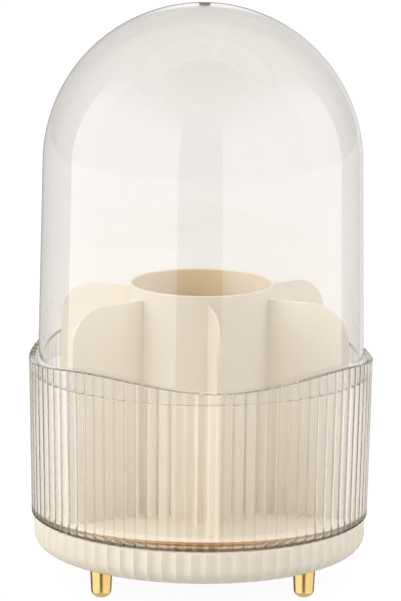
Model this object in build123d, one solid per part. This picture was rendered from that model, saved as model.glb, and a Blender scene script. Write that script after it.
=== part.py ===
from build123d import *
import os
from math import cos, pi, radians, sin, tan

# A rotating organizer: a clear domed lid on a clear ribbed cup with a wavy rim, a divider with an open
# central tube and radial fins, and a fluted base on four feet that carries the cup on a ball bearing.
# All sizes are in millimetres. Z is up and starts at the ground, X is to the right, the front is -Y.
# An azimuth is an angle in degrees about Z, counted from the front towards +X.

quarter_turn = 90

# Feet
foot_height = 12.7
foot_seat_depth = 1.3
foot_seat_clearance = 0.15
foot_top_radius = 5.1
foot_shoulder_radius = 4.7
foot_tip_radius = 1.2
foot_inset = 11.3
foot_azimuths = {
    "foot_front_left": -45,
    "foot_front_right": 45,
    "foot_rear_right": 135,
    "foot_rear_left": -135,
}
foot_boss_height = 4.6

# Base shell
base_azimuth = 2.3
base_radius = 77.2
base_height = 16.6
base_edge_width = 12.1
base_edge_height = 8.5
base_wall = 2.0
flute_count = 72
flute_depth = 0.6
drum_foot_gap = 3.8
hub_radius = 10.0
web_count = 8
web_thickness = 1.4
gusset_height = 4.4

# Bottom cover
cover_thickness = 1.8
cover_clearance = 0.3
cover_screw_inset = 7.0
cover_screw_count = 4
cover_boss_radius = 3.5

# Ball bearing
ball_radius = 2.5
ball_count = 12
ball_play = 0.03
ball_pocket_clearance = 0.15
race_width = 8.0
race_thickness = 1.6
race_edge_margin = 1.0
race_groove_depth = 0.8
race_groove_ease = 0.12
race_clearance = 0.1
race_lip_height = 1.1
race_lip_width = 1.4
cage_width = 7.0
cage_thickness = 1.7

# Pivot
pin_radius = 4.5
pin_running_clearance = 0.05
pivot_play = 0.2
bush_wall = 1.5
bush_flange_radius = 8.0
bush_flange_thickness = 1.0
bush_clearance = 0.05
washer_radius = 7.5
washer_thickness = 1.0
washer_clearance = 0.5

# Turntable plate
plate_thickness = 2.4
plate_clearance = 1.2
cup_gap = 1.0
socket_circle_radius = 30.0
socket_count = 4
socket_radius = 5.6
socket_floor = 1.4
plate_rib_height = 1.2
plate_rib_thickness = 1.4

# Screws
screw_radius = 1.4
screw_hole_clearance = 0.1
screw_head_radius = 2.8
screw_head_height = 1.6
screw_tip_clearance = 0.6
foot_screw_length = 10.6
cover_screw_length = 5.2
plate_screw_length = 5.0
pivot_screw_length = 8.0
cross_width = 0.7
cross_length = 3.0
cross_depth = 0.9

# Cup
cup_bottom_radius = 78.4
cup_rim_radius = 80.0
cup_height = 78.5
cup_floor = 2.6
cup_edge_chamfer = 0.7
cup_wall = 2.3
cup_lower_wall = 3.7
rib_count = 90
rib_depth = 0.6
wave_count = 4
wave_height = 5.0
step_depth = 10.7
step_width = 2.4
cup_boss_radius = 3.5
cup_boss_clearance = 0.2
carousel_azimuth = 6.5

# Divider
divider_floor = 1.6
divider_clearance = 0.4
tube_radius = 33.7
tube_wall = 1.5
tube_height = 106.7
fin_count = 6
fin_thickness = 2.0
fin_height = 101.7
fin_corner_radius = 17.0
fin_lid_clearance = 1.3
fin_floor_setback = 1.35

# Lid
lid_clearance = 1.2
lid_wall = 2.0
lid_side_height = 97.5
lid_draft = 1.0
gate_radius = 1.8
gate_height = 0.35

# How finely the scalloped walls and the wavy rim are drawn
scallop_corners = 3
edge_rings = 3
wave_steps = 8

# How far a cutting tool runs past the face that it opens
overrun = 1.0

# Heights that follow from the sizes above
underside = foot_height - foot_seat_depth
base_rim = underside + base_height
cup_bottom = base_rim + cup_gap
plate_top = cup_bottom
plate_bottom = plate_top - plate_thickness
race_gap = 2 * (ball_radius + ball_play - race_groove_depth)
upper_race_bottom = plate_bottom - race_thickness
ball_height = upper_race_bottom - race_gap / 2
lower_race_top = upper_race_bottom - race_gap
deck_top = lower_race_top - race_thickness
deck_bottom = deck_top - base_wall
floor_top = underside + base_wall
edge_top = underside + base_edge_height
cover_top = underside + cover_thickness
hub_top = plate_bottom - pivot_play - bush_flange_thickness - pivot_play
pivot_head_bottom = cover_top + pivot_play
washer_bottom = pivot_head_bottom + screw_head_height
pin_bottom = washer_bottom + washer_thickness
hub_bottom = pin_bottom + pivot_play
boss_bottom = plate_bottom - screw_head_height
rim_peak = cup_bottom + cup_height
step_top = rim_peak - step_depth
cup_floor_top = cup_bottom + cup_floor
divider_floor_top = cup_floor_top + divider_floor
tube_top = cup_floor_top + tube_height
fin_top = cup_floor_top + fin_height
dome_centre = step_top + lid_side_height

# Radii that follow from the sizes above
base_flat_radius = base_radius - base_edge_width
base_inner_radius = base_radius - flute_depth - base_wall
foot_circle_radius = base_radius - foot_inset
drum_radius = foot_circle_radius - foot_top_radius - drum_foot_gap
ball_circle_radius = drum_radius - race_edge_margin - race_width / 2
cover_opening_radius = drum_radius - base_wall
cover_screw_circle_radius = cover_opening_radius - cover_screw_inset
plate_radius = base_inner_radius - plate_clearance
bush_inner_radius = pin_radius + pin_running_clearance
bush_outer_radius = bush_inner_radius + bush_wall
race_outer_radius = ball_circle_radius + race_width / 2
race_inner_radius = ball_circle_radius - race_width / 2
lip_radius = race_inner_radius - race_clearance
pilot_radius = screw_radius + screw_hole_clearance
cup_taper = (cup_rim_radius - cup_bottom_radius) / cup_height
cup_crest_at_step = cup_rim_radius - cup_taper * step_depth
cup_crest_at_floor = cup_bottom_radius + cup_taper * cup_floor
cup_upper_inner_radius = cup_crest_at_step - rib_depth - cup_wall
cup_step_inner_radius = cup_upper_inner_radius - step_width
cup_floor_inner_radius = cup_crest_at_floor - rib_depth - cup_lower_wall
divider_radius = cup_floor_inner_radius - divider_clearance
fin_floor_radius = divider_radius - fin_floor_setback
lid_edge_radius = cup_upper_inner_radius - lid_clearance
fin_radius = lid_edge_radius - lid_wall - fin_lid_clearance
dome_radius = lid_edge_radius - lid_side_height * tan(radians(lid_draft))


def place(azimuth, radius, height=0.0):
    """Where something stands on a circle about Z, with its own X pointing outwards."""
    return Rot(0, 0, azimuth - quarter_turn) * Pos(radius, 0, height)


def places(count, radius, height=0.0, first=0.0):
    """Evenly spaced places on a circle about Z."""
    return [place(first + 360 * i / count, radius, height) for i in range(count)]


def disc(radius, low, high):
    """A round disc or post on the Z axis between two heights."""
    return Pos(0, 0, low) * Cylinder(radius, high - low, align=(Align.CENTER, Align.CENTER, Align.MIN))


def ring(outer, inner, low, high):
    """A flat ring on the Z axis between two heights."""
    return disc(outer, low, high) - disc(inner, low - overrun, high + overrun)


def bar(length, width, low, high):
    """A straight bar that starts on the Z axis and runs out along X."""
    return Pos(0, 0, low) * Box(length, width, high - low, align=(Align.MIN, Align.CENTER, Align.MIN))


def turned(outline):
    """A solid of revolution about Z, from a closed outline of radius against height."""
    return revolve(Plane.XZ * make_face(outline), Axis.Z)


def cross_recess():
    """The cross cut into a screw's head, from its face at Z 0 upwards."""
    slot = Box(cross_length, cross_width, cross_depth, align=(Align.CENTER, Align.CENTER, Align.MIN))
    return slot + Rot(0, 0, quarter_turn) * slot


def screw(length):
    """A pan-head screw with a cross recess, its seat at Z 0 and its shank pointing up."""
    body = disc(screw_radius, 0, length) + disc(screw_head_radius, -screw_head_height, 0)
    return body - Pos(0, 0, -screw_head_height) * cross_recess()


def flat_screw(length):
    """A countersunk screw with a cross recess, its flat head's face at Z 0 and its shank pointing up."""
    cone_height = screw_head_radius - screw_radius
    outline = Polyline(
        (0, 0), (screw_head_radius, 0), (screw_radius, cone_height), (screw_radius, length), (0, length),
        close=True,
    )
    return turned(outline) - cross_recess()


def scalloped_outline(height, radius, count, depth, hollow):
    """A closed outline of equal flutes (hollow) or reeds, with a few corners to each."""
    points = []
    for i in range(scallop_corners * count):
        angle = 2 * pi * i / (scallop_corners * count)
        on_line = i % scallop_corners == 0
        offset = depth if on_line != hollow else 0.0
        points.append(((radius - offset) * cos(angle), (radius - offset) * sin(angle), height))
    return Wire(Polyline(*points, close=True).edges())


def base_body():
    """The outside of the base: flutes that run down the side and fade out over the rounded edge."""
    outlines = []
    for i in range(edge_rings + 1):
        angle = radians(quarter_turn * i / edge_rings)
        radius = base_flat_radius + base_edge_width * sin(angle)
        height = underside + base_edge_height * (1 - cos(angle))
        outlines.append(scalloped_outline(height, radius, flute_count, flute_depth * sin(angle), hollow=True))
    outlines.append(scalloped_outline(base_rim, base_radius, flute_count, flute_depth, hollow=True))
    return Solid.make_loft(outlines, ruled=True)


def base_shell():
    """One moulding: fluted wall, floor ring, raised drum for the bearing, hub, bosses and webs."""
    inner_edge = EllipticalCenterArc(
        (base_flat_radius, edge_top), base_inner_radius - base_flat_radius, edge_top - floor_top,
        -quarter_turn, arc_size=quarter_turn,
    )
    cavity = Polyline(
        (base_inner_radius, edge_top), (base_inner_radius, base_rim + overrun), (0, base_rim + overrun),
        (0, deck_top), (drum_radius, deck_top), (drum_radius, floor_top), (base_flat_radius, floor_top),
    )
    inside = turned(cavity + inner_edge)
    shell = base_body() - inside
    shell -= disc(cover_opening_radius, underside - overrun, deck_bottom)

    # Webs stiffen the drum inside and tie it to the wall outside.
    web = bar(cover_opening_radius + base_wall / 2, web_thickness, cover_top + cover_clearance, deck_bottom)
    web -= disc(washer_radius + washer_clearance, underside, deck_top)
    gusset = bar(base_inner_radius, web_thickness, floor_top, floor_top + gusset_height) & inside
    for spot in places(web_count, 0, first=180 / web_count):
        shell += spot * web
        shell += spot * gusset

    shell += disc(hub_radius, hub_bottom, hub_top)
    shell -= disc(bush_outer_radius + bush_clearance, underside - overrun, base_rim)
    lip_inner_radius = lip_radius - race_lip_width
    shell += ring(lip_radius, lip_inner_radius, deck_top - base_wall / 2, deck_top + race_lip_height)

    for spot in places(cover_screw_count, cover_screw_circle_radius):
        shell += spot * disc(cover_boss_radius, cover_top, deck_bottom + base_wall / 2)
        shell -= spot * disc(pilot_radius, cover_top - overrun, cover_top + cover_screw_length)
    for azimuth in foot_azimuths.values():
        spot = place(azimuth, foot_circle_radius)
        shell += spot * disc(foot_top_radius, underside, floor_top + foot_boss_height)
        shell -= spot * disc(foot_top_radius + foot_seat_clearance, underside - overrun, foot_height)
        shell -= spot * disc(pilot_radius, underside - overrun, base_rim)
    return shell


def foot():
    """A bullet-shaped foot on the Z axis, standing on the ground, with a blind hole for its screw."""
    tip_arc = foot_shoulder_radius - foot_tip_radius
    round_tip = CenterArc((foot_tip_radius, tip_arc), tip_arc, -quarter_turn, quarter_turn)
    sides = Polyline(
        (foot_shoulder_radius, tip_arc), (foot_top_radius, foot_height), (0, foot_height), (0, 0),
        (foot_tip_radius, 0),
    )
    reach = foot_screw_length - foot_boss_height - base_wall + foot_seat_depth + screw_tip_clearance
    return turned(sides + round_tip) - disc(pilot_radius, foot_height - reach, foot_height + overrun)


def foot_screws():
    """One screw to each foot, driven down from inside the base."""
    head_seat = floor_top + foot_boss_height
    return [
        place(azimuth, foot_circle_radius, head_seat) * Rot(180, 0, 0) * screw(foot_screw_length)
        for azimuth in foot_azimuths.values()
    ]


def bottom_cover():
    """The disc that closes the recess under the pivot, with countersunk holes."""
    cover = disc(cover_opening_radius - cover_clearance, underside, cover_top)
    head = screw_head_radius + screw_hole_clearance
    sink = Polyline((0, -overrun), (head + overrun, -overrun), (0, head), close=True)
    hole = turned(sink) + disc(pilot_radius, -overrun, cover_thickness + overrun)
    for spot in places(cover_screw_count, cover_screw_circle_radius, underside):
        cover -= spot * hole
    return cover


def cover_screws():
    """The countersunk screws that hold the bottom cover."""
    spots = places(cover_screw_count, cover_screw_circle_radius, underside)
    return [spot * flat_screw(cover_screw_length) for spot in spots]


def race(low, groove_height):
    """A flat ring with a round groove for the balls."""
    body = ring(race_outer_radius, race_inner_radius, low, low + race_thickness)
    groove = Plane.XZ * Pos(ball_circle_radius, groove_height) * Circle(ball_radius + race_groove_ease)
    return body - revolve(groove, Axis.Z)


def upper_race():
    """The ring under the turntable plate."""
    return race(upper_race_bottom, ball_height + ball_play - race_groove_ease)


def lower_race():
    """The ring on the base's drum."""
    return race(deck_top, ball_height - ball_play + race_groove_ease)


def bearing_balls():
    """The loose balls, evenly spaced by their cage."""
    return [spot * Sphere(ball_radius) for spot in places(ball_count, ball_circle_radius, ball_height)]


def ball_cage():
    """A flat ring with a round pocket for each ball."""
    low = ball_height - cage_thickness / 2
    high = ball_height + cage_thickness / 2
    half_width = cage_width / 2
    cage = ring(ball_circle_radius + half_width, ball_circle_radius - half_width, low, high)
    for spot in places(ball_count, ball_circle_radius):
        cage -= spot * disc(ball_radius + ball_pocket_clearance, low - overrun, high + overrun)
    return cage


def pivot_bush():
    """A flanged plain bush in the base's hub."""
    flange = disc(bush_flange_radius, hub_top, hub_top + bush_flange_thickness)
    sleeve = disc(bush_outer_radius, hub_bottom, hub_top)
    return flange + sleeve - disc(bush_inner_radius, hub_bottom - overrun, plate_bottom)


def pivot_washer():
    """The washer that stops the turntable from lifting off."""
    return ring(washer_radius, pilot_radius, washer_bottom, pin_bottom)


def pivot_screw():
    """The screw in the end of the turntable's pin."""
    return Pos(0, 0, washer_bottom) * screw(pivot_screw_length + washer_thickness)


def turntable_plate():
    """The disc under the cup: a pin on the axis, a lip inside the race, sockets for the cup's bosses."""
    plate = disc(plate_radius, plate_bottom, plate_top)
    plate += disc(pin_radius, pin_bottom, plate_bottom)
    plate -= disc(pilot_radius, pin_bottom - overrun, pin_bottom + pivot_screw_length + screw_tip_clearance)
    plate += ring(lip_radius, lip_radius - race_lip_width, plate_bottom - race_lip_height, plate_bottom)
    rib_length = lip_radius - race_lip_width / 2
    rib = bar(rib_length, plate_rib_thickness, plate_bottom - plate_rib_height, plate_bottom)
    rib -= disc(hub_radius + plate_clearance, deck_top, plate_top)
    for spot in places(socket_count, 0, first=180 / socket_count):
        plate += spot * rib
    for spot in places(socket_count, socket_circle_radius):
        plate += spot * disc(socket_radius, boss_bottom - socket_floor, plate_bottom)
        plate -= spot * disc(cup_boss_radius + cup_boss_clearance, boss_bottom, plate_top + overrun)
        plate -= spot * disc(pilot_radius, boss_bottom - socket_floor - overrun, boss_bottom + overrun)
    return plate


def plate_screws():
    """The screws that hold the cup's bosses down in the plate's sockets."""
    spots = places(socket_count, socket_circle_radius, boss_bottom - socket_floor)
    return [spot * screw(plate_screw_length) for spot in spots]


def wave_cutter():
    """What is cut from the rim between two crests of its wave, seen from the front."""
    half_angle = 180 / wave_count
    points = []
    for i in range(wave_steps + 1):
        azimuth = half_angle * (2 * i / wave_steps - 1)
        drop = wave_height / 2 * (1 + cos(radians(wave_count * azimuth)))
        points.append((cup_rim_radius * sin(radians(azimuth)), rim_peak - drop))
    left, right = points[0], points[-1]
    wave = Spline(*points, tangents=((1, 0), (1, 0)))
    top = Polyline(right, (right[0], rim_peak + overrun), (left[0], rim_peak + overrun), left)
    near = cup_step_inner_radius * cos(radians(half_angle))
    return Pos(0, -near, 0) * extrude(Plane.XZ * make_face(wave + top), cup_rim_radius)


def cup():
    """The clear cup: reeded outside with a wavy rim, smooth inside with a step for the lid."""
    levels = [
        (cup_bottom, cup_bottom_radius - cup_edge_chamfer),
        (cup_bottom + cup_edge_chamfer, cup_bottom_radius + cup_taper * cup_edge_chamfer),
        (rim_peak, cup_rim_radius),
    ]
    outlines = [scalloped_outline(*level, rib_count, rib_depth, hollow=False) for level in levels]
    body = Solid.make_loft(outlines, ruled=True)
    inside = Polyline(
        (0, cup_floor_top), (cup_floor_inner_radius, cup_floor_top), (cup_step_inner_radius, step_top),
        (cup_upper_inner_radius, step_top), (cup_upper_inner_radius, rim_peak + overrun),
        (0, rim_peak + overrun),
        close=True,
    )
    body -= turned(inside)
    cutter = wave_cutter()
    for spot in places(wave_count, 0, first=quarter_turn):
        body -= spot * cutter
    hole_top = boss_bottom - socket_floor + plate_screw_length + screw_tip_clearance
    for spot in places(socket_count, socket_circle_radius):
        body += spot * disc(cup_boss_radius, boss_bottom, cup_bottom)
        body -= spot * disc(pilot_radius, boss_bottom - overrun, hole_top)
    return body


def divider_insert():
    """One moulding: floor disc, open tube on the axis and radial fins with a rounded top corner."""
    body = disc(divider_radius, cup_floor_top, divider_floor_top)
    tube_edge = tube_wall / 2
    edge_height = tube_top - tube_edge
    rounded_edge = CenterArc((tube_radius - tube_edge, edge_height), tube_edge, 0, 2 * quarter_turn)
    tube_sides = Polyline(
        (tube_radius - tube_wall, edge_height), (tube_radius - tube_wall, divider_floor_top),
        (tube_radius, divider_floor_top), (tube_radius, edge_height),
    )
    body += turned(tube_sides + rounded_edge)
    root_radius = tube_radius - tube_wall / 2
    root_height = cup_floor_top + divider_floor / 2
    corner_radius = fin_radius - fin_corner_radius
    corner_height = fin_top - fin_corner_radius
    side = Polyline(
        (fin_radius, corner_height), (fin_radius, step_top), (fin_floor_radius, root_height),
        (root_radius, root_height), (root_radius, fin_top), (corner_radius, fin_top),
    )
    corner = CenterArc((corner_radius, corner_height), fin_corner_radius, 0, quarter_turn)
    fin = extrude(Plane.XZ * make_face(side + corner), fin_thickness / 2, both=True)
    for spot in places(fin_count, 0):
        body += spot * fin
    return body


def dome_lid():
    """The clear cloche: a drafted side that runs into half a sphere, with a gate mark at the top."""
    inner_edge = lid_edge_radius - lid_wall
    inner_dome = dome_radius - lid_wall
    outside = Line((lid_edge_radius, step_top), (dome_radius, dome_centre))
    outside_dome = CenterArc((0, dome_centre), dome_radius, 0, quarter_turn)
    inside = Line((inner_edge, step_top), (inner_dome, dome_centre))
    inside_dome = CenterArc((0, dome_centre), inner_dome, 0, quarter_turn)
    top = Line((0, dome_centre + inner_dome), (0, dome_centre + dome_radius))
    edge = Line((inner_edge, step_top), (lid_edge_radius, step_top))
    body = turned(outside + outside_dome + top + inside_dome + inside + edge)
    pole = dome_centre + dome_radius
    return body + disc(gate_radius, pole - lid_wall / 2, pole + gate_height)


def write(name, pieces, azimuth=0.0):
    """One file for each piece, or for a group of like pieces."""
    solids = pieces if isinstance(pieces, list) else [pieces]
    turned_solids = [solid for piece in solids for solid in (Rot(0, 0, azimuth) * piece).solids()]
    shape = turned_solids[0] if len(turned_solids) == 1 else Compound(turned_solids)
    export_step(shape, f"parts/{name}.step")


os.makedirs("parts", exist_ok=True)

write("base_shell", base_shell(), base_azimuth)
write("bottom_cover", bottom_cover(), base_azimuth)
write("cover_screws", cover_screws(), base_azimuth)
for foot_name, foot_azimuth in foot_azimuths.items():
    write(foot_name, place(foot_azimuth, foot_circle_radius) * foot(), base_azimuth)
write("foot_screws", foot_screws(), base_azimuth)
write("lower_race", lower_race())
write("bearing_balls", bearing_balls())
write("ball_cage", ball_cage())
write("pivot_bush", pivot_bush())
write("upper_race", upper_race(), carousel_azimuth)
write("turntable_plate", turntable_plate(), carousel_azimuth)
write("pivot_washer", pivot_washer(), carousel_azimuth)
write("pivot_screw", pivot_screw(), carousel_azimuth)
write("cup", cup(), carousel_azimuth)
write("plate_screws", plate_screws(), carousel_azimuth)
write("divider_insert", divider_insert(), carousel_azimuth)
write("dome_lid", dome_lid(), carousel_azimuth)
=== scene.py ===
from math import cos, pi, radians, sin, tan

import bmesh
import bpy
from mathutils import Matrix, Vector


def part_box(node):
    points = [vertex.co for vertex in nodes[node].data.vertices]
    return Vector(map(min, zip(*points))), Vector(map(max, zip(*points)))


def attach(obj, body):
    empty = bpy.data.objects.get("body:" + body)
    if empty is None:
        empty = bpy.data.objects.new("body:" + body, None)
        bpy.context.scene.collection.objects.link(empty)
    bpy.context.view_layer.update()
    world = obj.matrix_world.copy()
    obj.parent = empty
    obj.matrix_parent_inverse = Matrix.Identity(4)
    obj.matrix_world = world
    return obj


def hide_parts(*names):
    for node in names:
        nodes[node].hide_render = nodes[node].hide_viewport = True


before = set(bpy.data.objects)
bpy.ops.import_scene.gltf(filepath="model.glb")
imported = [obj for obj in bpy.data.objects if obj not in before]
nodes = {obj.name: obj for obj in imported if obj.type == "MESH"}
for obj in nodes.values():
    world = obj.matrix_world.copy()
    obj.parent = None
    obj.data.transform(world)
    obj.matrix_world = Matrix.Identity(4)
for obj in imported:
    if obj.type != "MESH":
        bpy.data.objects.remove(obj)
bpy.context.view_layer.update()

# Base shell
# The round cream moulding at the bottom: shallow flutes run down its wall and fade out over its rounded
# lower edge. Injection moulded in ABS, with a drum, a hub, webs and screw bosses inside.

MM = 0.001


def link(tree, source, target):
    tree.links.new(source, target)


def feed(tree, socket, value):
    """Sets a socket to a constant, or links another node's output to it."""
    if isinstance(value, bpy.types.NodeSocket):
        link(tree, value, socket)
    else:
        socket.default_value = value


def calc(tree, operation, *values):
    """One Math node; each value is a number or another node's output."""
    node = tree.nodes.new("ShaderNodeMath")
    node.operation = operation
    for socket, value in zip(node.inputs, values):
        feed(tree, socket, value)
    return node.outputs[0]


def ramp(tree, value, start, end, first=0.0, last=1.0, curve="LINEAR"):
    """One Map Range node, from a first level at the start to a last level at the end."""
    node = tree.nodes.new("ShaderNodeMapRange")
    node.interpolation_type = curve
    for socket, level in zip(node.inputs, (value, start, end, first, last)):
        feed(tree, socket, level)
    return node.outputs[0]


def mix_values(tree, factor, first, second):
    """One Mix node for two plain values."""
    node = tree.nodes.new("ShaderNodeMix")
    for place, value in zip((0, 2, 3), (factor, first, second)):
        feed(tree, node.inputs[place], value)
    return node.outputs[0]


def mix_colours(tree, factor, first, second, blend="MIX"):
    """One Mix node for two colours; each is three numbers or another node's output."""
    node = tree.nodes.new("ShaderNodeMix")
    node.data_type = "RGBA"
    node.blend_type = blend
    feed(tree, node.inputs[0], factor)
    for place, colour in ((6, first), (7, second)):
        feed(tree, node.inputs[place], colour if isinstance(colour, bpy.types.NodeSocket) else (*colour, 1))
    return node.outputs[2]


def reading(tree, kind, name=0):
    """One output of a new node that has nothing to set."""
    return tree.nodes.new(kind).outputs[name]


def parts_of(tree, vector):
    """The three parts of a vector."""
    node = tree.nodes.new("ShaderNodeSeparateXYZ")
    link(tree, vector, node.inputs[0])
    return node.outputs


def vector_of(tree, *parts):
    """A vector made of up to three parts."""
    node = tree.nodes.new("ShaderNodeCombineXYZ")
    for socket, part in zip(node.inputs, parts):
        feed(tree, socket, part)
    return node.outputs[0]


def new_tree(kind, name, inputs, outputs):
    """A node tree with named inputs, each with its kind and first value, and named outputs with their kinds."""
    tree = bpy.data.node_groups.new(name, kind)
    for label, socket_kind, value in inputs:
        socket = tree.interface.new_socket(label, in_out="INPUT", socket_type="NodeSocket" + socket_kind)
        if value is not None:
            socket.default_value = value
    for label, socket_kind in outputs:
        tree.interface.new_socket(label, in_out="OUTPUT", socket_type="NodeSocket" + socket_kind)
    return tree, tree.nodes.new("NodeGroupInput").outputs, tree.nodes.new("NodeGroupOutput").inputs


def real_piece(tree, shape, material, result):
    """Ends a tree in Realize Instances and Set Material."""
    real = tree.nodes.new("GeometryNodeRealizeInstances")
    link(tree, shape, real.inputs[0])
    coated = tree.nodes.new("GeometryNodeSetMaterial")
    link(tree, real.outputs[0], coated.inputs["Geometry"])
    link(tree, material, coated.inputs["Material"])
    link(tree, coated.outputs[0], result)


def turning_tree():
    """Turns a profile about Z. Scallops (reeds or flutes) and a wave at the rim change it as it goes round."""
    tree, given, result = new_tree("GeometryNodeTree", "scalloped_turning", [
        ("Profile", "Geometry", None), ("Segments", "Int", 192), ("Scallops", "Int", 1),
        ("Scallop depth", "Float", 0.0), ("Flatness", "Float", 2.0), ("Hollow", "Float", 0.0), ("Waves", "Int", 1),
        ("Wave height", "Float", 0.0), ("Wave foot", "Float", 0.0), ("Wave top", "Float", 1.0),
        ("Turn", "Float", 0.0), ("Material", "Material", None),
    ], [("Piece", "Geometry")])

    size = tree.nodes.new("GeometryNodeAttributeDomainSize")
    link(tree, given["Profile"], size.inputs[0])
    grid = tree.nodes.new("GeometryNodeMeshGrid")
    columns = calc(tree, "ADD", given["Segments"], 1.0)
    link(tree, size.outputs["Point Count"], grid.inputs["Vertices X"])
    link(tree, columns, grid.inputs["Vertices Y"])

    index = reading(tree, "GeometryNodeInputIndex")
    row = calc(tree, "FLOOR", calc(tree, "DIVIDE", calc(tree, "ADD", index, 0.5), columns))
    column = calc(tree, "SUBTRACT", index, calc(tree, "MULTIPLY", row, columns))
    share = calc(tree, "DIVIDE", column, given["Segments"])

    def at_row(kind, value):
        """What the profile holds at a grid point's row."""
        node = tree.nodes.new("GeometryNodeSampleIndex")
        node.data_type = kind
        for name, source in (("Geometry", given["Profile"]), ("Value", value), ("Index", row)):
            link(tree, source, node.inputs[name])
        return node.outputs[0]

    place = parts_of(tree, at_row("FLOAT_VECTOR", reading(tree, "GeometryNodeInputPosition")))
    scallop = tree.nodes.new("GeometryNodeInputNamedAttribute")
    scallop.data_type = "FLOAT"
    scallop.inputs["Name"].default_value = "scallop"
    weight = at_row("FLOAT", scallop.outputs[0])

    across = calc(tree, "FRACT", calc(tree, "MULTIPLY", share, given["Scallops"]))
    from_crest = calc(tree, "SUBTRACT", calc(tree, "MULTIPLY", across, 2.0), 1.0)
    reed = calc(tree, "POWER", calc(tree, "ABSOLUTE", from_crest), given["Flatness"])
    flute = calc(tree, "SUBTRACT", 1.0, reed)
    hollow = mix_values(tree, given["Hollow"], reed, flute)
    inset = calc(tree, "MULTIPLY", calc(tree, "MULTIPLY", hollow, given["Scallop depth"]), weight)
    radius = calc(tree, "SUBTRACT", place[0], inset)

    angle = calc(tree, "MULTIPLY", share, 2 * pi)
    swell = calc(tree, "ADD", calc(tree, "COSINE", calc(tree, "MULTIPLY", angle, given["Waves"])), 1.0)
    drop = calc(tree, "MULTIPLY", calc(tree, "MULTIPLY", swell, given["Wave height"]), 0.5)
    reach = ramp(tree, place[2], given["Wave foot"], given["Wave top"])
    height = calc(tree, "SUBTRACT", place[2], calc(tree, "MULTIPLY", drop, reach))

    azimuth = calc(tree, "ADD", angle, given["Turn"])
    minus_radius = calc(tree, "MULTIPLY", radius, -1.0)
    spot = vector_of(tree, calc(tree, "MULTIPLY", radius, calc(tree, "SINE", azimuth)),
                     calc(tree, "MULTIPLY", minus_radius, calc(tree, "COSINE", azimuth)), height)
    moved = tree.nodes.new("GeometryNodeSetPosition")
    link(tree, grid.outputs[0], moved.inputs["Geometry"])
    link(tree, spot, moved.inputs["Position"])
    merged = tree.nodes.new("GeometryNodeMergeByDistance")
    merged.inputs["Distance"].default_value = 0.002 * MM
    link(tree, moved.outputs[0], merged.inputs["Geometry"])
    real_piece(tree, merged.outputs[0], given["Material"], result[0])
    return tree


def circling_tree():
    """Sets copies of one shape, made on the +X side, evenly round Z."""
    tree, given, result = new_tree("GeometryNodeTree", "set_around_the_axis", [
        ("Shape", "Geometry", None), ("Count", "Int", 4), ("First azimuth", "Float", 0.0),
        ("Material", "Material", None),
    ], [("Pieces", "Geometry")])
    points = tree.nodes.new("GeometryNodePoints")
    link(tree, given["Count"], points.inputs["Count"])
    step = calc(tree, "DIVIDE", 2 * pi, given["Count"])
    along = calc(tree, "MULTIPLY", reading(tree, "GeometryNodeInputIndex"), step)
    azimuth = calc(tree, "ADD", along, given["First azimuth"])
    copies = tree.nodes.new("GeometryNodeInstanceOnPoints")
    link(tree, points.outputs[0], copies.inputs["Points"])
    link(tree, given["Shape"], copies.inputs["Instance"])
    link(tree, vector_of(tree, 0.0, 0.0, calc(tree, "SUBTRACT", azimuth, pi / 2)), copies.inputs["Rotation"])
    real_piece(tree, copies.outputs[0], given["Material"], result[0])
    return tree


turning = turning_tree()
circling = circling_tree()


def worked(mesh, tree, sizes):
    """The plain mesh that a tree makes of a mesh."""
    holder = bpy.data.objects.new("holder", mesh)
    bpy.context.scene.collection.objects.link(holder)
    modifier = holder.modifiers.new("work", "NODES")
    modifier.node_group = tree
    for item in tree.interface.items_tree:
        if item.item_type == "SOCKET" and item.in_out == "INPUT" and item.name in sizes:
            modifier[item.identifier] = sizes[item.name]
    evaluated = holder.evaluated_get(bpy.context.evaluated_depsgraph_get())
    made = bpy.data.meshes.new_from_object(evaluated)
    holder.modifiers.remove(modifier)
    bpy.data.objects.remove(holder)
    return made


def input_name(word):
    """The name of a tree's input, as the sizes given to a piece write it: scallop_depth is Scallop depth."""
    return word.replace("_", " ").capitalize()


def turned(profile, material, **sizes):
    """A turned mesh from rows of radius, height and how far the scallops reach there."""
    mesh = bpy.data.meshes.new("profile")
    rows = [(row[0], 0.0, row[1]) for row in profile]
    mesh.from_pydata(rows, [(i, i + 1) for i in range(len(rows) - 1)], [])
    weights = mesh.attributes.new("scallop", "FLOAT", "POINT")
    weights.data.foreach_set("value", [row[2] if len(row) > 2 else 0.0 for row in profile])
    named = {input_name(word): value for word, value in sizes.items()}
    return worked(mesh, turning, {"Material": material, **named})


def around(shape, count, first, material):
    """Copies of a shape set evenly round Z, the first at an azimuth from the front."""
    return worked(shape, circling, {"Count": count, "First azimuth": first, "Material": material})


def arc(centre, radius, start, end, steps=4, weight=0.0, height=None):
    """Rows along a round corner, from one angle in degrees to another; height makes it an ellipse."""
    rows = []
    for i in range(steps + 1):
        angle = radians(start + (end - start) * i / steps)
        rows.append((centre[0] + radius * cos(angle), centre[1] + (height or radius) * sin(angle), weight))
    return rows


def straight(start, end, steps=6, weight=0.0, margin=0.3 * MM):
    """Rows along a straight wall, with one close to each end that keeps the wall's shading flat."""
    run = Vector(end) - Vector(start)
    near = margin / run.length
    shares = [near] + [i / steps for i in range(1, steps)] + [1 - near]
    return [(*(Vector(start) + share * run), weight) for share in shares]


def mesh_from(bm, name):
    """A named mesh from a working one."""
    mesh = bpy.data.meshes.new(name)
    bm.to_mesh(mesh)
    bm.free()
    return mesh


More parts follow.
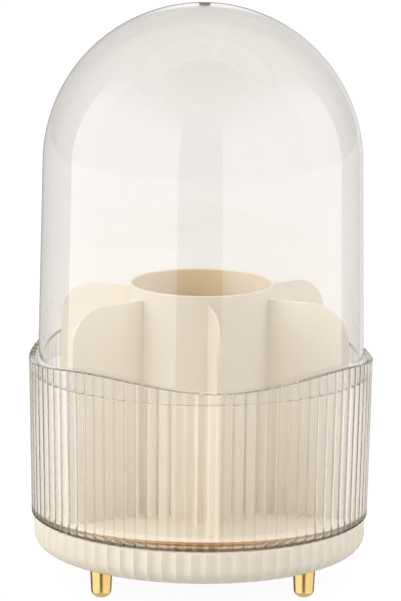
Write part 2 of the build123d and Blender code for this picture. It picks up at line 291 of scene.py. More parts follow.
def upright_plate(outline, thickness):
    """A closed plate as a mesh, from its outline of radius and height, centred on the XZ plane."""
    count = len(outline)
    corners = [(row[0], side * thickness / 2, row[1]) for side in (-1, 1) for row in outline]
    edges_round = [((i + 1) % count, i, count + i, count + (i + 1) % count) for i in range(count)]
    mesh = bpy.data.meshes.new("plate")
    mesh.from_pydata(corners, [], [range(count), range(2 * count - 1, count - 1, -1)] + edges_round)
    return mesh


def post(distance, radius, low, high):
    """A plain closed post as a mesh, out along X."""
    bm = bmesh.new()
    bmesh.ops.create_cone(bm, cap_ends=True, segments=32, radius1=radius, radius2=radius, depth=high - low)
    bmesh.ops.translate(bm, vec=(distance, 0, (low + high) / 2), verts=bm.verts)
    return mesh_from(bm, "post")


def dress(mesh, material):
    """Gives a whole mesh one finish."""
    mesh.materials.clear()
    mesh.materials.append(material)


def piece(name, meshes, body, stands_for, material, sharp=30):
    """One visible piece of one or more closed meshes, shaded smooth up to an angle, riding on a body."""
    bm = bmesh.new()
    for mesh in meshes:
        bm.from_mesh(mesh)
    bmesh.ops.recalc_face_normals(bm, faces=bm.faces)
    made = mesh_from(bm, name)
    dress(made, material)
    for polygon in made.polygons:
        polygon.material_index = 0
    made.shade_smooth()
    made.set_sharp_from_angle(angle=radians(sharp))
    obj = bpy.data.objects.new(name, made)
    bpy.context.scene.collection.objects.link(obj)
    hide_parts(*stands_for)
    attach(obj, body)


def grain_group():
    """Moulded plastic's surface: pale and deep patches, a fine grain and a roughness that wanders."""
    group, given, result = new_tree("ShaderNodeTree", "moulded_grain", [
        ("Pale", "Color", None), ("Deep", "Color", None), ("Patch size", "Float", 0.03),
        ("Grain size", "Float", 0.0006), ("Roughness", "Float", 0.4), ("Spread", "Float", 0.05),
    ], [("Color", "Color"), ("Roughness", "Float"), ("Height", "Float")])
    where = reading(group, "ShaderNodeTexCoord", "Object")

    def noise(size, detail):
        node = group.nodes.new("ShaderNodeTexNoise")
        node.inputs["Detail"].default_value = detail
        link(group, where, node.inputs["Vector"])
        link(group, calc(group, "DIVIDE", 1.0, size), node.inputs["Scale"])
        return node.outputs[0]

    patches = noise(given["Patch size"], 3.0)
    fine = noise(given["Grain size"], 2.0)
    link(group, mix_colours(group, patches, given["Pale"], given["Deep"]), result["Color"])
    link(group, fine, result["Height"])
    wander = calc(group, "SUBTRACT", calc(group, "ADD", patches, fine), 1.0)
    spread = calc(group, "MULTIPLY", wander, given["Spread"])
    link(group, calc(group, "ADD", given["Roughness"], spread), result["Roughness"])
    return group


grain = grain_group()


def new_finish(name):
    """A new material, with its tree and its main shader."""
    material = bpy.data.materials.new(name)
    material.use_nodes = True
    return material, material.node_tree, material.node_tree.nodes["Principled BSDF"]


def placed(tree, group, **values):
    """A shader group placed in a material with its own values."""
    node = tree.nodes.new("ShaderNodeGroup")
    node.node_tree = group
    for word, value in values.items():
        feed(tree, node.inputs[input_name(word)], value)
    return node.outputs


def moulded(name, pale, deep, roughness, spread=0.06, bump=0.02, coat=0.0, metallic=0.0, grain_size=0.0005,
            patch_size=0.03):
    """A solid finish: plastic or metal with the wandering surface of grain_group."""
    material, tree, shader = new_finish(name)
    surface = placed(tree, grain, pale=(*pale, 1), deep=(*deep, 1), patch_size=patch_size, grain_size=grain_size,
                     roughness=roughness, spread=spread)
    link(tree, surface["Color"], shader.inputs["Base Color"])
    link(tree, surface["Roughness"], shader.inputs["Roughness"])
    relief = tree.nodes.new("ShaderNodeBump")
    relief.inputs["Strength"].default_value = bump
    relief.inputs["Distance"].default_value = 0.1 * MM
    link(tree, surface["Height"], relief.inputs["Height"])
    link(tree, relief.outputs[0], shader.inputs["Normal"])
    shader.inputs["Metallic"].default_value = metallic
    shader.inputs["Coat Weight"].default_value = coat
    shader.inputs["Coat Roughness"].default_value = 0.15
    return material


cream_base = moulded("cream_abs", pale=(0.845, 0.77, 0.65), deep=(0.815, 0.735, 0.61), roughness=0.36, coat=0.1)

base_low, base_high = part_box("base_shell")
base_turn = radians(2.3)
base_radius = 77.2 * MM
base_under = base_low.z
base_rim = base_high.z
edge_width = 12.1 * MM
edge_height = 8.5 * MM
edge_steps = 10
base_wall = 2.0 * MM
wall_inset = 0.6 * MM
flute_depth = 1.1 * MM
flutes = 72
drum_radius = 57.0 * MM
deck_top = 19.94 * MM
lip_radius = 47.9 * MM
lip_width = 1.4 * MM
lip_height = 1.1 * MM
hub_radius = 10.0 * MM
bore_radius = 6.1 * MM
hub_bottom, hub_top = 16.2 * MM, 25.2 * MM
soft = 0.4 * MM
base_flat = base_radius - edge_width
base_inner = base_radius - wall_inset - base_wall
floor_top = base_under + base_wall
opening_radius = drum_radius - base_wall
outer_edge = []
for i in range(edge_steps + 1):
    turn = radians(90 * i / edge_steps)
    outer_edge.append((base_flat + edge_width * sin(turn), base_under + edge_height * (1 - cos(turn)), sin(turn)))
base_profile = [(opening_radius, base_under)] + outer_edge
base_profile += arc((base_radius - soft, base_rim - soft), soft, 0, 90, weight=1.0)
base_profile += arc((base_inner + soft, base_rim - soft), soft, 90, 180)
base_profile += arc((base_flat, base_under + edge_height), base_inner - base_flat, 0, -90, 10,
                    height=edge_height - base_wall)
base_profile += [
    (drum_radius, floor_top), (drum_radius, deck_top - soft), (drum_radius - soft, deck_top),
    (lip_radius, deck_top), (lip_radius, deck_top + lip_height), (lip_radius - lip_width, deck_top + lip_height),
    (lip_radius - lip_width, deck_top), (hub_radius, deck_top), (hub_radius, hub_top), (bore_radius, hub_top),
    (bore_radius, hub_bottom), (hub_radius, hub_bottom), (hub_radius, deck_top - base_wall),
    (opening_radius, deck_top - base_wall), (opening_radius, base_under),
]
shell = turned(base_profile, cream_base, segments=flutes * 8, scallops=flutes, scallop_depth=flute_depth,
               hollow=1.0, turn=base_turn)

web_count = 8
web_thickness = 1.4 * MM
web_reach = 8.0 * MM
web_low = 13.5 * MM
web_top = deck_top - MM
gusset_low = floor_top - MM
gusset_top = floor_top + 4.4 * MM
cover_boss_circle = 48.0 * MM
cover_boss_radius = 3.5 * MM
cover_boss_low = 13.2 * MM
foot_circle = 65.9 * MM
foot_boss_radius = 5.1 * MM
foot_boss_top = floor_top + 4.6 * MM
foot_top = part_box("foot_front_left")[1].z
web = upright_plate([(web_reach, web_low), (opening_radius + MM, web_low), (opening_radius + MM, web_top),
                     (web_reach, web_top)], web_thickness)
gusset_rows = arc((base_flat, base_under + edge_height), base_inner - base_flat + MM, -90, -30, 6,
                  height=edge_height - base_wall + MM)
gusset = upright_plate([(drum_radius - MM, gusset_low)] + gusset_rows
                       + [(base_inner, gusset_top), (drum_radius - MM, gusset_top)], web_thickness)
cover_boss = post(cover_boss_circle, cover_boss_radius, cover_boss_low, web_top)
foot_boss = post(foot_circle, foot_boss_radius, foot_top, foot_boss_top)
stiffeners = [
    around(web, web_count, base_turn + pi / web_count, cream_base),
    around(gusset, web_count, base_turn + pi / web_count, cream_base),
    around(cover_boss, 4, base_turn, cream_base),
    around(foot_boss, 4, base_turn + pi / 4, cream_base),
]
piece("base_moulding", [shell] + stiffeners, "base", ["base_shell"], cream_base, sharp=22)

# Bottom cover and its screws
# A cream disc let into the underside, closing the drum below the pivot, held by four countersunk screws. Four
# more hold the feet.

steel = moulded("plated_steel", pale=(0.60, 0.59, 0.57), deep=(0.50, 0.49, 0.47), roughness=0.3, metallic=1.0,
                grain_size=0.0002, patch_size=0.004)
for name, material in (("bottom_cover", cream_base), ("cover_screws", steel), ("foot_screws", steel)):
    dress(nodes[name].data, material)

# Feet
# Four small bullet-shaped feet, turned in brass and polished, each pulled up by a screw from inside.

gold = moulded("polished_gold", pale=(0.70, 0.49, 0.205), deep=(0.62, 0.425, 0.16), roughness=0.24, spread=0.04,
               bump=0.002, metallic=1.0, grain_size=0.0003, patch_size=0.003)
foot_top_radius = 5.1 * MM
foot_shoulder_radius = 4.7 * MM
foot_tip_radius = 1.2 * MM
foot_edge_round = 0.3 * MM
tip_round = foot_shoulder_radius - foot_tip_radius
foot_profile = [(0.0, 0.0)] + arc((foot_tip_radius, tip_round), tip_round, -90, 0, 14)
foot_profile += arc((foot_top_radius - foot_edge_round, foot_top - foot_edge_round), foot_edge_round, 0, 90)
foot_profile += [(0.0, foot_top)]
for name, azimuth in (("foot_front_left", -45), ("foot_front_right", 45),
                      ("foot_rear_right", 135), ("foot_rear_left", -135)):
    foot = turned(foot_profile, gold, segments=64)
    side = base_turn + radians(azimuth)
    foot.transform(Matrix.Translation((foot_circle * sin(side), -foot_circle * cos(side), 0)))
    piece("gold_" + name, [foot], "base", [name], gold, sharp=40)

# Ball bearing and pivot
# Two steel races with rolling balls in a nylon cage carry the cup; a bush, washer and shoulder screw on the
# axis hold the turntable down.

ball_steel = moulded("bearing_steel", pale=(0.72, 0.72, 0.72), deep=(0.62, 0.62, 0.62), roughness=0.12,
                     spread=0.04, bump=0.004, metallic=1.0, grain_size=0.0002, patch_size=0.003)
nylon = moulded("white_nylon", pale=(0.86, 0.85, 0.82), deep=(0.80, 0.79, 0.75), roughness=0.45,
                grain_size=0.0004)
for name, material in (("lower_race", steel), ("upper_race", steel), ("bearing_balls", ball_steel),
                       ("ball_cage", nylon), ("pivot_bush", nylon), ("pivot_washer", steel),
                       ("pivot_screw", steel), ("plate_screws", steel)):
    dress(nodes[name].data, material)

# Turntable plate
# The cream disc that the cup is screwed to. Only its edge shows, in the gap under the cup.

dress(nodes["turntable_plate"].data, cream_base)

# Cup
# A clear cup, injection moulded in styrene: ninety reeds outside, a rim in four waves, a thick floor, and a
# step inside that carries the lid.

carousel_turn = radians(6.5)
seat_gap = 0.03 * MM
cup_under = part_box("turntable_plate")[1].z + seat_gap
cup_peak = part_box("cup")[1].z
cup_bottom_radius = 78.4 * MM
cup_rim_radius = 80.0 * MM
cup_floor = 2.6 * MM - 2 * seat_gap
cup_chamfer = 0.7 * MM
step_top = 96.8 * MM
step_inner = 74.48 * MM
step_round = 0.4 * MM
step_corner = 0.3 * MM
upper_inner = 76.88 * MM
floor_inner = 74.15 * MM
floor_round = 0.6 * MM
reeds = 90
reed_depth = 0.45 * MM
reed_flatness = 4.0
waves = 4
wave_height = 5.0 * MM
wave_foot = step_top + 1.5 * MM
rim_round = 0.4 * MM
taper = (cup_rim_radius - cup_bottom_radius) / (cup_peak - cup_under)
peg_circle = 30.0 * MM
peg_radius = 3.5 * MM
peg_low = 25.0 * MM

# Painted shade and painted see-through colour for reed_shade: dark and amber bands low on the cup's wall stand in
# for its floor and the shaded gap under it, with darker valleys, a darker foot and warmer sides.
band_blur = 0.3 * MM
dark_band = 1.5 * MM
amber_low, amber_high = 2.0 * MM, 4.4 * MM
band_side = 2.5 * MM
band_front = 2.2 * MM
dark_side, dark_front = (0.006, 0.004, 0.003), (0.05, 0.03, 0.015)
amber_side, amber_pale, amber_deep = (0.62, 0.56, 0.50), (0.60, 0.32, 0.10), (0.33, 0.15, 0.03)
painted_front_amber = (0.76, 0.50, 0.28)
painted_foot_shade, painted_step_shade = (0.86, 0.825, 0.755), (0.965, 0.945, 0.92)
valley_dark = (0.012, 0.009, 0.006)
painted_side_warmth = (0.96, 0.91, 0.82)
ahead_from, ahead_to = 0.025, 0.075
aside_from, aside_to, aside_least = 0.12, 0.62, 0.03
valley_from, valley_to = 0.5, 0.92


def reed_group():
    """Painted shade on a reeded clear wall: dark lines in its valleys, and dark and amber bands low on it that
    stand in for its floor and the shaded gap under it seen through the wall. The wall is painted darker towards
    its foot and warmer where it turns away.

    Edge says how far the wall turns away from the eye.
    """
    group, given, result = new_tree("ShaderNodeTree", "reed_shade", [
        ("Bottom", "Float", 0.0), ("Reeds", "Float", 90.0), ("Turn", "Float", 0.0), ("Edge", "Float", 0.0),
        ("Step", "Float", 0.1),
    ], [("Color", "Color")])
    x, y, z = parts_of(group, reading(group, "ShaderNodeTexCoord", "Object"))
    above = calc(group, "SUBTRACT", z, given["Bottom"])
    azimuth = calc(group, "ARCTAN2", x, calc(group, "MULTIPLY", y, -1.0))
    phase = calc(group, "MULTIPLY", calc(group, "SUBTRACT", azimuth, given["Turn"]), given["Reeds"])
    facing = calc(group, "SUBTRACT", 1.0, given["Edge"])

    light = calc(group, "MULTIPLY_ADD", calc(group, "COSINE", phase), 0.1, 0.75)
    dark = mix_colours(group, calc(group, "MULTIPLY", light, facing), dark_side, dark_front)
    deeper = mix_colours(group, ramp(group, above, amber_low, amber_high), amber_pale, amber_deep)
    amber = mix_colours(group, facing, amber_side, deeper)
    band = mix_colours(group, ramp(group, above, dark_band, dark_band + band_blur), dark, amber)
    ahead = ramp(group, given["Edge"], ahead_from, ahead_to, 1.0, 0.0)
    band = mix_colours(group, ahead, band, painted_front_amber, "MULTIPLY")

    under_step = mix_colours(group, ramp(group, z, given["Bottom"], given["Step"]), painted_foot_shade, painted_step_shade)
    wall = mix_colours(group, calc(group, "GREATER_THAN", z, given["Step"]), under_step, (1, 1, 1))
    rise = calc(group, "SUBTRACT", above, calc(group, "MULTIPLY", facing, band_front))
    whole = mix_colours(group, ramp(group, rise, band_side, band_side + band_blur), band, wall)

    aside = ramp(group, given["Edge"], aside_from, aside_to, aside_least, 1.0)
    valley = ramp(group, calc(group, "COSINE", phase), valley_from, valley_to)
    lined = mix_colours(group, calc(group, "MULTIPLY", valley, aside), whole, valley_dark, "MULTIPLY")
    link(group, mix_colours(group, aside, lined, painted_side_warmth, "MULTIPLY"), result["Color"])
    return group


reed_shade = reed_group()


# Painted shade: a dark line on the cup's rounded edges, its rim most of all, weaker where the wall turns away.
rim_slope_low, rim_slope_high = 0.3, 0.88
rim_fades_from, rim_fades_to, rim_least = 0.55, 0.85, 0.3
painted_rim_shade = (0.012, 0.006, 0.003)
styrene_ior = 1.57


def vector_calc(tree, operation, *values):
    """One Vector Math node; each value is three numbers or another node's output."""
    node = tree.nodes.new("ShaderNodeVectorMath")
    node.operation = operation
    for socket, value in zip(node.inputs, values):
        feed(tree, socket, value)
    return node.outputs["Value" if operation == "DOT_PRODUCT" else "Vector"]


def reeded(tree, colour, seen, sizes):
    """A clear colour with the painted shade of reed_shade, and a painted dark line along the rounded rim, where
    the camera sees it first.
    """
    place = reading(tree, "ShaderNodeNewGeometry", "Position")
    outward = vector_calc(tree, "NORMALIZE", vector_calc(tree, "MULTIPLY", place, (1, 1, 0)))
    away = tree.nodes.new("ShaderNodeLayerWeight")
    link(tree, outward, away.inputs["Normal"])
    edge = away.outputs["Facing"]
    shade = placed(tree, reed_shade, edge=edge, **sizes)
    shaded = mix_colours(tree, seen, colour, shade[0], "MULTIPLY")
    slope = parts_of(tree, reading(tree, "ShaderNodeNewGeometry", "Normal"))[2]
    rim = calc(tree, "MULTIPLY", calc(tree, "GREATER_THAN", slope, rim_slope_low),
               calc(tree, "LESS_THAN", slope, rim_slope_high))
    rim = calc(tree, "MULTIPLY", rim, ramp(tree, edge, rim_fades_from, rim_fades_to, 1.0, rim_least))
    return mix_colours(tree, calc(tree, "MULTIPLY", rim, seen), shaded, painted_rim_shade)


def blend_shaders(tree, factor, first, second, output):
    """Mixes two shaders into the surface of an output node."""
    node = tree.nodes.new("ShaderNodeMixShader")
    for socket, source in zip(node.inputs, (factor, first, second)):
        link(tree, source, socket)
    link(tree, node.outputs[0], tree.nodes[output].inputs["Surface"])


def clear(name, pale, deep, tint, density, roughness, shadow, reed_sizes=None):
    """Clear moulded plastic that takes off colour by depth and lets light through to what it holds."""
    material, tree, shader = new_finish(name)
    path = tree.nodes.new("ShaderNodeLightPath").outputs
    surface = placed(tree, grain, pale=(*pale, 1), deep=(*deep, 1), patch_size=0.05, grain_size=0.004,
                     roughness=roughness, spread=roughness)
    colour = surface["Color"]
    # With reed sizes, the colour that the camera sees first gets painted shade: reed_shade and a painted dark rim
    # line.
    if reed_sizes:
        colour = reeded(tree, colour, path["Is Camera Ray"], reed_sizes)
    link(tree, colour, shader.inputs["Base Color"])
    link(tree, surface["Roughness"], shader.inputs["Roughness"])
    shader.inputs["Transmission Weight"].default_value = 1.0
    shader.inputs["IOR"].default_value = styrene_ior
    through = tree.nodes.new("ShaderNodeBsdfTransparent")
    through.inputs["Color"].default_value = (*shadow, 1)
    lit = calc(tree, "MAXIMUM", path["Is Shadow Ray"], path["Is Diffuse Ray"])
    blend_shaders(tree, lit, shader.outputs[0], through.outputs[0], "Material Output")
    depth = tree.nodes.new("ShaderNodeVolumeAbsorption")
    depth.inputs["Color"].default_value = (*tint, 1)
    depth.inputs["Density"].default_value = density
    link(tree, depth.outputs[0], tree.nodes["Material Output"].inputs["Volume"])
    return material


clear_cup = clear("clear_cup", pale=(1.0, 0.995, 0.99), deep=(0.985, 0.975, 0.965), tint=(0.72, 0.42, 0.05),
                  density=0.4, roughness=0.01, shadow=(0.985, 0.975, 0.965),
                  reed_sizes={"bottom": cup_under, "reeds": reeds, "turn": carousel_turn,
                              "step": step_top + 0.6 * MM})


def wall_radius(height):
    """The outside of the cup's reeds at a height."""
    return cup_bottom_radius + taper * (height - cup_under)


chamfer_top = (wall_radius(cup_under + cup_chamfer), cup_under + cup_chamfer)
wave_start = (wall_radius(wave_foot), wave_foot)
floor_corner = cup_under + cup_floor + floor_round
cup_profile = [(0.0, cup_under), (cup_bottom_radius - cup_chamfer, cup_under, 1.0), (*chamfer_top, 1.0)]
cup_profile += straight(chamfer_top, wave_start, weight=1.0)
cup_profile += straight(wave_start, (cup_rim_radius, cup_peak - rim_round), weight=1.0)
cup_profile += arc((cup_rim_radius - rim_round, cup_peak - rim_round), rim_round, 0, 90, weight=1.0)
cup_profile += arc((upper_inner + rim_round, cup_peak - rim_round), rim_round, 90, 180)
cup_profile += straight((upper_inner, cup_peak - rim_round), (upper_inner, wave_foot), 3)
cup_profile += straight((upper_inner, wave_foot), (upper_inner, step_top + step_corner), 1, margin=0.1 * MM)
cup_profile += arc((upper_inner - step_corner, step_top + step_corner), step_corner, 0, -90, 3)
cup_profile += arc((step_inner + step_round, step_top - step_round), step_round, 90, 180, 4)
cup_profile += straight((step_inner, step_top - step_round), (floor_inner, floor_corner))
cup_profile += arc((floor_inner - floor_round, floor_corner), floor_round, 0, -90, 4)
cup_profile += [(floor_inner - MM, cup_under + cup_floor), (0.0, cup_under + cup_floor)]
cup_wall = turned(cup_profile, clear_cup, segments=reeds * 10, scallops=reeds, scallop_depth=reed_depth,
                  flatness=reed_flatness, waves=waves, wave_height=wave_height, wave_foot=wave_foot,
                  wave_top=cup_peak, turn=carousel_turn)
pegs = around(post(peg_circle, peg_radius, peg_low, cup_under + 0.5 * MM), 4, carousel_turn, clear_cup)
piece("reeded_cup", [cup_wall, pegs], "carousel", ["cup"], clear_cup, sharp=25)

# Divider
# One cream moulding that drops into the cup: a floor disc, an open tube for long brushes, and six fins with
# a rounded outer corner.

divider_low, divider_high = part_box("divider_insert")
divider_under = divider_low.z
tube_top = divider_high.z
divider_floor = divider_under + 1.6 * MM
divider_radius = 73.75 * MM
divider_round_low = 0.3 * MM
divider_round_high = 0.5 * MM
tube_radius = 33.7 * MM
tube_wall = 1.5 * MM
tube_edge = tube_wall / 2
tube_bore = tube_radius - tube_wall
fillet = 0.8 * MM
# Painted light and shade on the divider: lighter away from the tube, darker low down, shade in the bore, and a
# highlight along the floor's rim.
highlight_rim_from = 66 * MM
thin_from, thin_to, thin_gain = tube_radius + MM, tube_radius + 8 * MM, 1.06
low_from, low_to, low_loss = 32 * MM, 85 * MM, 0.93
warm_from, warm_to = 8 * MM, 16 * MM
bore_back, bore_sides = (0.90, 0.74, 0.48), (0.92, 0.825, 0.68)
painted_rim_highlight = (0.98, 0.92, 0.82)

cream_divider = moulded("cream_polypropylene", pale=(0.90, 0.84, 0.745), deep=(0.87, 0.80, 0.68), roughness=0.33,
                        coat=0.1)


def from_axis(tree, x, y):
    """How far a place is from the axis."""
    return calc(tree, "SQRT", calc(tree, "ADD", calc(tree, "POWER", x, 2.0), calc(tree, "POWER", y, 2.0)))


def shade_divider(tree, shader):
    """Paints shade into the tube's bore, deepest at the back, painted shade on the low parts, painted light away
    from the tube on the fins and floor, and a painted highlight along the floor's rim.
    """
    plain = shader.inputs["Base Color"].links[0].from_socket
    x, y, z = parts_of(tree, reading(tree, "ShaderNodeTexCoord", "Object"))
    span = from_axis(tree, x, y)
    inside = calc(tree, "MULTIPLY", calc(tree, "LESS_THAN", span, tube_bore + 0.2 * MM),
                  calc(tree, "LESS_THAN", z, tube_top - tube_edge))
    sides = ramp(tree, calc(tree, "ABSOLUTE", x), warm_from, warm_to)
    painted_bore_shade = mix_colours(tree, inside, plain, mix_colours(tree, sides, bore_back, bore_sides))
    low = ramp(tree, z, low_from, low_to, low_loss, 1.0)
    thin = ramp(tree, span, thin_from, thin_to, 1.0, thin_gain)
    painted_light_and_shade = tree.nodes.new("ShaderNodeVectorMath")
    painted_light_and_shade.operation = "SCALE"
    link(tree, painted_bore_shade, painted_light_and_shade.inputs[0])
    link(tree, calc(tree, "MULTIPLY", low, thin), painted_light_and_shade.inputs["Scale"])
    rim = calc(tree, "MULTIPLY", calc(tree, "GREATER_THAN", span, highlight_rim_from),
               calc(tree, "LESS_THAN", z, divider_floor + 0.3 * MM))
    link(tree, mix_colours(tree, rim, painted_light_and_shade.outputs[0], painted_rim_highlight), shader.inputs["Base Color"])


shade_divider(cream_divider.node_tree, cream_divider.node_tree.nodes["Principled BSDF"])

divider_profile = [(0.0, divider_under)]
divider_profile += arc((divider_radius - divider_round_low, divider_under + divider_round_low),
                       divider_round_low, -90, 0)
divider_profile += arc((divider_radius - divider_round_high, divider_floor - divider_round_high),
                       divider_round_high, 0, 90)
divider_profile += arc((tube_radius + fillet, divider_floor + fillet), fillet, -90, -180)
divider_profile += straight((tube_radius, divider_floor + fillet), (tube_radius, tube_top - tube_edge))
divider_profile += arc((tube_radius - tube_edge, tube_top - tube_edge), tube_edge, 0, 180, 8)
divider_profile += straight((tube_bore, tube_top - tube_edge), (tube_bore, divider_floor + fillet))
divider_profile += arc((tube_bore - fillet, divider_floor + fillet), fillet, 0, -90)
divider_profile += [(0.0, divider_floor)]
hollow_tube = turned(divider_profile, cream_divider, segments=192)

fin_count = 6
fin_thickness = 2.0 * MM
fin_edge_round = 0.35 * MM
fin_top = divider_under + 101.7 * MM
fin_reach = 72.4 * MM
fin_corner = 17.0 * MM
fin_root = tube_radius - tube_edge
fin_outline = [(fin_root, divider_floor - MM), (fin_reach, divider_floor - MM)]
fin_outline += arc((fin_reach - fin_corner, fin_top - fin_corner), fin_corner, 0, 90, 16)
fin_outline += [(fin_root, fin_top)]
fin = bmesh.new()
fin.from_mesh(upright_plate(fin_outline, fin_thickness))
rim_edges = [edge for edge in fin.edges if abs(edge.verts[0].co.y - edge.verts[1].co.y) < 0.1 * MM
             and max(vertex.co.z for vertex in edge.verts) > divider_floor]
bmesh.ops.bevel(fin, geom=rim_edges, offset=fin_edge_round, segments=3, affect="EDGES", profile=0.5,
                clamp_overlap=True)
fins = around(mesh_from(fin, "fin"), fin_count, carousel_turn, cream_divider)
piece("cream_divider_insert", [hollow_tube, fins], "carousel", ["divider_insert"],
      cream_divider, sharp=35)

# Dome lid
# A clear cloche, injection moulded: a drafted side that runs into half a sphere, standing on the cup's step.
# The trimmed gate is the small frosted mark at its pole.

clear_lid = clear("clear_lid", pale=(0.961, 0.946, 0.932), deep=(0.953, 0.936, 0.92), tint=(0.3, 0.2, 0.0),
                  density=10.5, roughness=0.006, shadow=(0.985, 0.98, 0.97))
lid_wall = 2.0 * MM
lid_edge_radius = 75.68 * MM
lid_edge_round = 0.5 * MM
dome_centre = 194.3 * MM
dome_radius = 73.98 * MM
gate_radius = 2.8 * MM
gate_height = 0.12 * MM
gate_round = 0.1 * MM
gate_sunk = 0.1 * MM
dome_inner = dome_radius - lid_wall
lid_inner = lid_edge_radius - lid_wall
lid_round_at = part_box("dome_lid")[0].z + lid_edge_round
lid_profile = [(0.0, dome_centre + dome_inner)]
lid_profile += arc((0.0, dome_centre), dome_inner, 90, 0, 48)[1:]
lid_profile += straight((dome_inner, dome_centre), (lid_inner, lid_round_at), 12)
lid_profile += arc((lid_inner + lid_edge_round, lid_round_at), lid_edge_round, 180, 270)
lid_profile += arc((lid_edge_radius - lid_edge_round, lid_round_at), lid_edge_round, 270, 360)
lid_profile += straight((lid_edge_radius, lid_round_at), (dome_radius, dome_centre), 12)
lid_profile += arc((0.0, dome_centre), dome_radius, 0, 90, 48)[:-1]
lid_profile += [(0.0, dome_centre + dome_radius)]
lid = turned(lid_profile, clear_lid, segments=192)
piece("clear_dome_lid", [lid], "lid", ["dome_lid"], clear_lid, sharp=40)

frosted = moulded("frosted_gate", pale=(0.30, 0.25, 0.21), deep=(0.12, 0.10, 0.08), roughness=0.6, bump=0.3,
                  grain_size=0.0003, patch_size=0.001)
pole = dome_centre + dome_radius
gate_profile = [(0.0, pole - gate_sunk), (gate_radius, pole - gate_sunk)]
gate_profile += arc((gate_radius - gate_round, pole + gate_height - gate_round), gate_round, 0, 90)
gate_profile += [(0.0, pole + gate_height)]
gate = turned(gate_profile, frosted, segments=32)
piece("lid_gate_mark", [gate], "lid", ["dome_lid"], frosted, sharp=40)

# Table and light
# A pale table in a white studio: two tall soft boxes stand left and right of the camera, with a gap between
# them that the camera looks through, and a weak strip of light stands behind the object.

scene = bpy.context.scene
scene.view_settings.view_transform = "Standard"
scene.cycles.max_bounces = 40
scene.cycles.glossy_bounces = 32
scene.cycles.transmission_bounces = 32
scene.cycles.transparent_max_bounces = 32
scene.cycles.caustics_refractive = False
scene.cycles.caustics_reflective = False


def seen_white(tree, path, back):
    """1 for a ray that sees white: straight or through clear plastic, but not thrown back once to the front."""
    thrown = calc(tree, "COMPARE", path["Glossy Depth"], 1.0, 0.5)
    thrown_back = calc(tree, "MULTIPLY", thrown, calc(tree, "LESS_THAN", back, 0.0))
    through = calc(tree, "SUBTRACT", path["Is Transmission Ray"], thrown_back)
    return calc(tree, "MAXIMUM", path["Is Camera Ray"], through)


table_radius = 3.0
table_glow = 1.11
glow_share = 0.85
near_radius, far_radius = 0.42, 0.56
near_level, far_level = 0.9, 0.42
behind_angle, side_angle = 0.35, 0.9
table_material, tree, shader = new_finish("pale_table")
shader.inputs["Base Color"].default_value = (0.66, 0.65, 0.63, 1)
shader.inputs["Roughness"].default_value = 0.6
glow = tree.nodes.new("ShaderNodeEmission")
glow.inputs["Color"].default_value = (1, 1, 1, 1)
glow.inputs["Strength"].default_value = table_glow
path = tree.nodes.new("ShaderNodeLightPath").outputs
x, y, z = parts_of(tree, reading(tree, "ShaderNodeTexCoord", "Object"))
to_sides = ramp(tree, from_axis(tree, x, y), near_radius, far_radius, near_level, far_level)
aside = calc(tree, "ABSOLUTE", calc(tree, "ARCTAN2", x, y))
straight_behind = ramp(tree, aside, behind_angle, side_angle, 1.0, to_sides)
white = calc(tree, "MULTIPLY", seen_white(tree, path, y), straight_behind)
seen = calc(tree, "MAXIMUM", white, path["Is Camera Ray"])
blend_shaders(tree, calc(tree, "MULTIPLY", seen, glow_share), shader.outputs[0], glow.outputs[0],
              "Material Output")
table_top = turned([(table_radius, 0.0), (0.0, 0.0)], table_material, segments=96)
dress(table_top, table_material)
table = bpy.data.objects.new("table", table_top)
scene.collection.objects.link(table)
table.visible_glossy = False


def glow_from(tree, ray, direction, power, strength):
    """A broad glow round a direction, as a strength."""
    across = vector_calc(tree, "DOT_PRODUCT", ray, Vector(direction).normalized())
    share = calc(tree, "MAXIMUM", across, 0.0)
    return calc(tree, "MULTIPLY", calc(tree, "POWER", share, power), strength)


horizon_light, top_light = 0.62, 1.25
gap_edge, gap_middle, gap_around = 0.988, 0.997, 0.22
floor_from, floor_to, floor_light = -0.35, -0.6, 0.7
rear = (0.75, 0.955)
rear_side_light, rear_side_tint = 0.36, (1.0, 0.94, 0.85)
world = bpy.data.worlds.new("studio")
world.use_nodes = True
world.cycles.sampling_method = "NONE"
scene.world = world
tree = world.node_tree
path = tree.nodes.new("ShaderNodeLightPath").outputs
ray = reading(tree, "ShaderNodeTexCoord", "Generated")
_, back, up = parts_of(tree, ray)
lit = calc(tree, "ADD", glow_from(tree, ray, (-0.88, -0.45, 0.3), power=16.0, strength=3.8),
           glow_from(tree, ray, (0.92, -0.25, 0.25), power=12.0, strength=1.65))
lit = calc(tree, "SUBTRACT", lit, glow_from(tree, ray, (0, -1, 0), power=2.0, strength=0.50))
lit = calc(tree, "ADD", lit, ramp(tree, up, 0.0, 1.0, horizon_light, top_light))
behind = vector_calc(tree, "DOT_PRODUCT", ray, Vector((0, 0.98, 0.2)).normalized())
mirrored = calc(tree, "ADD", ramp(tree, behind, gap_edge, gap_middle, gap_around, 1.0),
                ramp(tree, up, floor_from, floor_to, 0.0, floor_light))
room = tree.nodes["Background"]
room.inputs["Color"].default_value = (1.0, 1.0, 1.0, 1)
link(tree, mix_values(tree, path["Is Diffuse Ray"], mirrored, lit), room.inputs["Strength"])
backdrop = tree.nodes.new("ShaderNodeBackground")
link(tree, mix_colours(tree, ramp(tree, back, *rear), rear_side_tint, (1, 1, 1)), backdrop.inputs["Color"])
link(tree, ramp(tree, back, *rear, rear_side_light, 1.0), backdrop.inputs["Strength"])
blend_shaders(tree, seen_white(tree, path, back), room.outputs[0], backdrop.outputs[0], "World Output")

box_distance = 0.9
box_bottom = -0.7


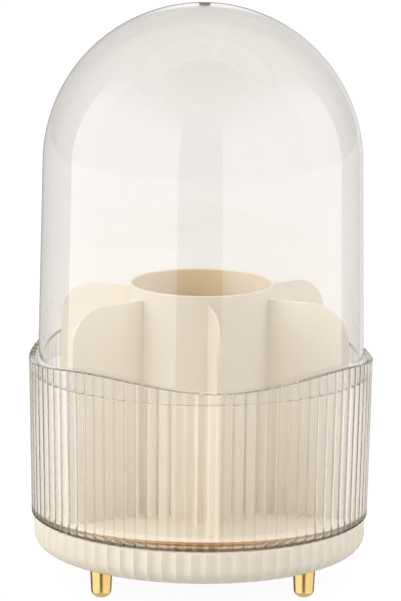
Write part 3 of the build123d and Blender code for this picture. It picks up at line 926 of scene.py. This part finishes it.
def soft_box(name, inner, outer, radiance, fade_from, fade_to):
    """A tall soft box between two azimuths, whose light fades out between two heights."""
    middle = radians((inner + outer) / 2)
    half = radians(abs(outer - inner) / 2)
    height = fade_to - box_bottom
    lamp = bpy.data.lights.new(name, "AREA")
    lamp.shape = "RECTANGLE"
    lamp.size = 2 * box_distance * tan(half)
    lamp.size_y = height
    lamp.energy = radiance * pi * lamp.size * lamp.size_y
    lamp.use_nodes = True
    tree = lamp.node_tree
    across = parts_of(tree, reading(tree, "ShaderNodeNewGeometry", "Parametric"))
    fade = ramp(tree, across[1], (fade_from - box_bottom) / height, 1.0, 1.0, 0.0, "SMOOTHSTEP")
    link(tree, fade, tree.nodes["Emission"].inputs["Strength"])
    box = bpy.data.objects.new(name, lamp)
    scene.collection.objects.link(box)
    box_middle = (fade_to + box_bottom) / 2
    spot = Vector((box_distance * sin(middle), -box_distance * cos(middle), box_middle))
    aim = Vector((0, 0, box_middle)) - spot
    box.matrix_world = Matrix.Translation(spot) @ aim.to_track_quat("-Z", "Y").to_matrix().to_4x4()
    box.visible_camera = False
    box.visible_diffuse = False
    box.visible_transmission = False


soft_box("soft_box_left", -17, -105.6, radiance=1.5, fade_from=0.6, fade_to=1.4)
soft_box("soft_box_right", 14, 115.4, radiance=1.22, fade_from=0.6, fade_to=1.4)
soft_box("strip_back_right", 150, 172, radiance=0.35, fade_from=0.1, fade_to=0.6)

# Camera
# A long lens from the front and a little above, as in the photograph.

lens = 298.5
sensor_width = 36.0
elevation = 0.2027
roll = 0.0106
distance = 2.3114
target = Vector((0, 0, 0.129))
shift_right, shift_up = -0.50 * MM, 0.37 * MM
forward = Vector((0, cos(elevation), -sin(elevation)))
level_right = Vector((1, 0, 0))
level_up = Vector((0, sin(elevation), cos(elevation)))
right = cos(roll) * level_right + sin(roll) * level_up
up = cos(roll) * level_up - sin(roll) * level_right
spot = target - distance * forward + shift_right * right + shift_up * up
camera_data = bpy.data.cameras.new("camera")
camera_data.lens = lens
camera_data.sensor_width = sensor_width
camera = bpy.data.objects.new("camera", camera_data)
scene.collection.objects.link(camera)
facing = Matrix((right, up, -forward)).transposed().to_4x4()
camera.matrix_world = Matrix.Translation(spot) @ facing
scene.camera = camera
